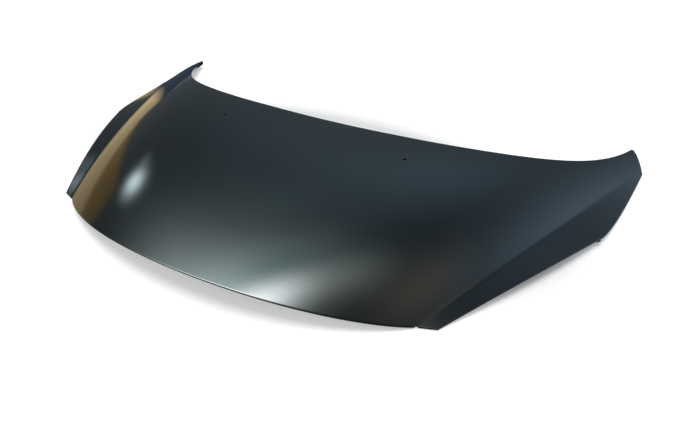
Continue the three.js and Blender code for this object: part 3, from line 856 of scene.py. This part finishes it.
def add_lamp(name, azimuth, power):
    """A wide lamp aimed at the bonnet, which no ray from the camera finds."""
    data = bpy.data.lights.new(name, "AREA")
    data.shape = "DISK"
    data.size = LAMP_SIZE
    data.energy = power
    lamp = bpy.data.objects.new(name, data)
    bpy.context.scene.collection.objects.link(lamp)
    place = direction(azimuth, LAMP_ELEVATION) * LAMP_DISTANCE
    lamp.matrix_world = Matrix.Translation(place) @ aim(place, Vector((0, 0, 0)))
    lamp.visible_camera = False
    lamp.visible_glossy = False


def seen_ray(bench):
    """1 for what the camera sees, straight, mirrored or through glass, and 0 for light."""
    outs = ("Is Camera Ray", "Is Glossy Ray", "Is Transmission Ray")
    seen, mirrored, through_glass = [bench.node("LightPath", out=out) for out in outs]
    return seen + mirrored + through_glass


def add_reflected(name, bm, material):
    """Something round the studio that only shows in glossy surfaces."""
    made = add_object(name, bm, material)
    made.visible_camera = False
    made.visible_diffuse = False
    made.visible_shadow = False
    return made


class BONNET_OT_stage(bpy.types.Operator):
    """Lays the pale floor and sets up lamps, cards and camera"""

    bl_idname = "bonnet.stage"
    bl_label = "Studio"

    def execute(self, context):
        scene = context.scene
        scene.view_settings.view_transform = "Standard"
        self.add_floor(scene)
        self.add_world(scene)
        for lamp in LAMPS:
            add_lamp(*lamp)
        self.add_surround()
        self.add_window()
        self.add_boards()
        self.add_shade_flags()
        self.add_camera(scene)
        return {"FINISHED"}

    def add_floor(self, scene):
        bench, place = start_material("floor")
        # The lift fades out in an ellipse under the bonnet, which paints shade on the floor
        # beneath it
        reach = bench.vector("MULTIPLY", place, {1: (1 / PAINTED_SHADE_REACH.x, 1 / PAINTED_SHADE_REACH.y, 0)})
        reach = bench.vector("LENGTH", reach, out="Value")
        start, full = PAINTED_SHADE_FADE
        values = {"Value": reach, "From Min": start, "From Max": full}
        lift = seen_ray(bench) * bench.node("MapRange", values=values)
        values = {
            "Base Color": rgba(scene.bonnet_finish.floor),
            "Roughness": 0.9,
            "Specular IOR Level": 0,
            "Emission Color": bench.shade(rgba((0, 0, 0)), rgba(LIFT), lift),
            "Emission Strength": 1,
        }
        bm = bmesh.new()
        bmesh.ops.create_grid(bm, x_segments=4, y_segments=4, size=FLOOR_REACH)
        floor = add_object("floor", bm, bench.end("BsdfPrincipled", values))

    def add_world(self, scene):
        world = bpy.data.worlds.new("studio")
        scene.world = world
        bench = Bench(world)
        colour = bench.shade(rgba(WORLD_LIGHT), rgba(WORLD_SEEN), seen_ray(bench))
        sky = bench.node("Background", values={"Color": colour, "Strength": 1})
        bench.node("OutputWorld", values={"Surface": sky})

    def add_surround(self):
        """The room as the paint shows it: soft lights, timber and pale walls on a wide dome."""
        bench, place = start_material("surround")
        towards = bench.vector("NORMALIZE", place)
        light = SURROUND_BASE
        for azimuth, elevation, spread, strength, colour in GLOWS:
            centre = direction(azimuth, elevation)
            near = bench.vector("DOT_PRODUCT", towards, {1: centre}, out="Value") - 1
            fall = bench.maths("EXPONENT", near * (1 / math.radians(spread) ** 2), 0)
            glow = bench.vector("SCALE", [c * strength for c in colour], {"Scale": fall})
            light = bench.vector("ADD", glow, {1: light})
        middle = direction(TIMBER_AZIMUTH, TIMBER_ELEVATION)
        side = bench.vector("DOT_PRODUCT", towards, {1: middle}, out="Value")
        side = bench.maths("MAXIMUM", (side - TIMBER_SIDE) * TIMBER_SIDE_FADE, 0)
        side = bench.maths("MINIMUM", side, 1)
        for a, b, colour in TIMBERS:
            edge = direction(*a).cross(direction(*b)).normalized()
            height = bench.vector("DOT_PRODUCT", towards, {1: edge}, out="Value")
            values = {"Value": height, "From Min": TIMBER_EDGE_FADE, "From Max": -TIMBER_EDGE_FADE}
            below = bench.node("MapRange", values=values)
            light = bench.shade(light, rgba(colour), below * side)
        bm = bmesh.new()
        bmesh.ops.create_icosphere(bm, subdivisions=SURROUND_SUBDIVISIONS, radius=SURROUND_RADIUS)
        bmesh.ops.reverse_faces(bm, faces=bm.faces)
        add_reflected("surround", bm, bench.end("Emission", {"Color": light, "Strength": 1}))

    def add_window(self):
        """A soft window beside the left flank, which the crown shows as an oval highlight."""
        bench, place = start_material("window")
        reach = bench.vector("DIVIDE", place, {1: (*WINDOW_SPREAD, 1)})
        square = bench.vector("DOT_PRODUCT", reach, {1: reach}, out="Value")
        fall = bench.maths("EXPONENT", square * -0.5, 0)
        values = {"Color": rgba(WINDOW_COLOUR), "Strength": WINDOW_STRENGTH}
        shine = bench.node("Emission", values=values)
        clear = bench.node("BsdfTransparent")
        material = bench.end("MixShader", {"Fac": fall, 1: clear, 2: shine})
        bm = bmesh.new()
        bmesh.ops.create_grid(bm, x_segments=1, y_segments=1, size=WINDOW_SIZE)
        window = add_reflected("window", bm, material)
        centre = WINDOW_FACES + direction(*WINDOW_WAY) * WINDOW_DISTANCE
        window.matrix_world = Matrix.Translation(centre) @ aim(centre, WINDOW_FACES)

    def add_boards(self):
        """Timber boards that rise slowly beside the left flank."""
        colour = TIMBERS[1][2]
        bench, place = start_material("boards")
        grain = bench.noise(place, 6, 3.0)
        tone = bench.shade(rgba(colour, 0.8), rgba(colour, 1.1), grain)
        back = bench.vector("DOT_PRODUCT", place, {1: BOARDS_END[:3]}, out="Value")
        values = {"Value": back - BOARDS_END[3], "From Max": BOARDS_END_FADE}
        tone = bench.shade(tone, rgba(DARK_FLOOR), bench.node("MapRange", values=values))
        outwards = direction(TIMBER_AZIMUTH, 0) + Vector((0, 0, BOARDS_SLOPE))
        bm = bmesh.new()
        bmesh.ops.create_grid(bm, x_segments=len(BOARDS_EDGE) - 1, y_segments=1, size=0.5)
        for vert in bm.verts:
            near = BOARDS_EDGE[round((vert.co.x + 0.5) * (len(BOARDS_EDGE) - 1))]
            away = outwards * ((vert.co.y + 0.5) * BOARDS_LENGTH)
            vert.co = Vector((*near, BOARDS_HEIGHT)) + away
        add_reflected("boards", bm, bench.end("Emission", {"Color": tone, "Strength": 1}))

    def add_shade_flags(self):
        """A small black flag under each washer-jet hole: a dark sheet that paints shade there, so
        that no lit floor shows through it.
        """
        bench, place = start_material("flag")
        # A faint grain on the black sheet of painted shade
        shade_grain = bench.noise(place, 900)
        tone = bench.shade(rgba((0.001, 0.001, 0.001)), rgba((0.003, 0.003, 0.003)), shade_grain)
        values = {"Base Color": tone, "Roughness": 1, "Specular IOR Level": 0}
        material = bench.end("BsdfPrincipled", values)
        for name, side in (("flag_left", 1), ("flag_right", -1)):
            bm = bmesh.new()
            bmesh.ops.create_grid(bm, x_segments=1, y_segments=1, size=0.5)
            bmesh.ops.scale(bm, verts=bm.verts, vec=(*SHADE_FLAG_SIZE, 1))
            centre = Vector((side * SHADE_FLAG_PLACE.x, SHADE_FLAG_PLACE.y, SHADE_FLAG_PLACE.z))
            bmesh.ops.translate(bm, verts=bm.verts, vec=centre)
            flag = add_object(name, bm, material)

    def add_camera(self, scene):
        ahead = direction(*CAMERA_WAY)
        level = ahead.cross(Vector((0, 0, 1))).normalized()
        down = ahead.cross(level)
        roll = math.radians(CAMERA_ROLL)
        right = level * math.cos(roll) + down * math.sin(roll)
        up = level * math.sin(roll) - down * math.cos(roll)
        data = bpy.data.cameras.new("camera")
        data.sensor_fit = "HORIZONTAL"
        data.sensor_width = SENSOR_WIDTH
        data.lens = SENSOR_WIDTH * FOCAL_PIXELS / IMAGE_WIDTH
        camera = bpy.data.objects.new("camera", data)
        scene.collection.objects.link(camera)
        turn = Matrix((right, up, -ahead)).transposed().to_4x4()
        camera.matrix_world = Matrix.Translation(CAMERA_PLACE) @ turn
        scene.camera = camera


class BONNET_PT_sidebar(bpy.types.Panel):
    """Settings and pieces of the bonnet"""

    bl_label = "Bonnet"
    bl_idname = "BONNET_PT_sidebar"
    bl_space_type = "VIEW_3D"
    bl_region_type = "UI"
    bl_category = "Bonnet"

    def draw(self, context):
        for group in (context.scene.bonnet_shape, context.scene.bonnet_finish):
            box = self.layout.box()
            for name in group.__annotations__:
                box.prop(group, name)
        for piece in PIECES:
            self.layout.operator(piece.bl_idname)


PIECES = (BONNET_OT_outer_skin, BONNET_OT_inner_frame, BONNET_OT_small_parts, BONNET_OT_stage)
CLASSES = (BonnetShape, BonnetFinish, *PIECES, BONNET_PT_sidebar)


def register():
    for each in CLASSES:
        bpy.utils.register_class(each)
    bpy.types.Scene.bonnet_shape = bpy.props.PointerProperty(type=BonnetShape)
    bpy.types.Scene.bonnet_finish = bpy.props.PointerProperty(type=BonnetFinish)


def unregister():
    del bpy.types.Scene.bonnet_finish
    del bpy.types.Scene.bonnet_shape
    for each in reversed(CLASSES):
        bpy.utils.unregister_class(each)


def main():
    register()
    bpy.ops.bonnet.outer_skin()
    bpy.ops.bonnet.inner_frame()
    bpy.ops.bonnet.small_parts()
    bpy.ops.bonnet.stage()


if __name__ == "__main__":
    main()
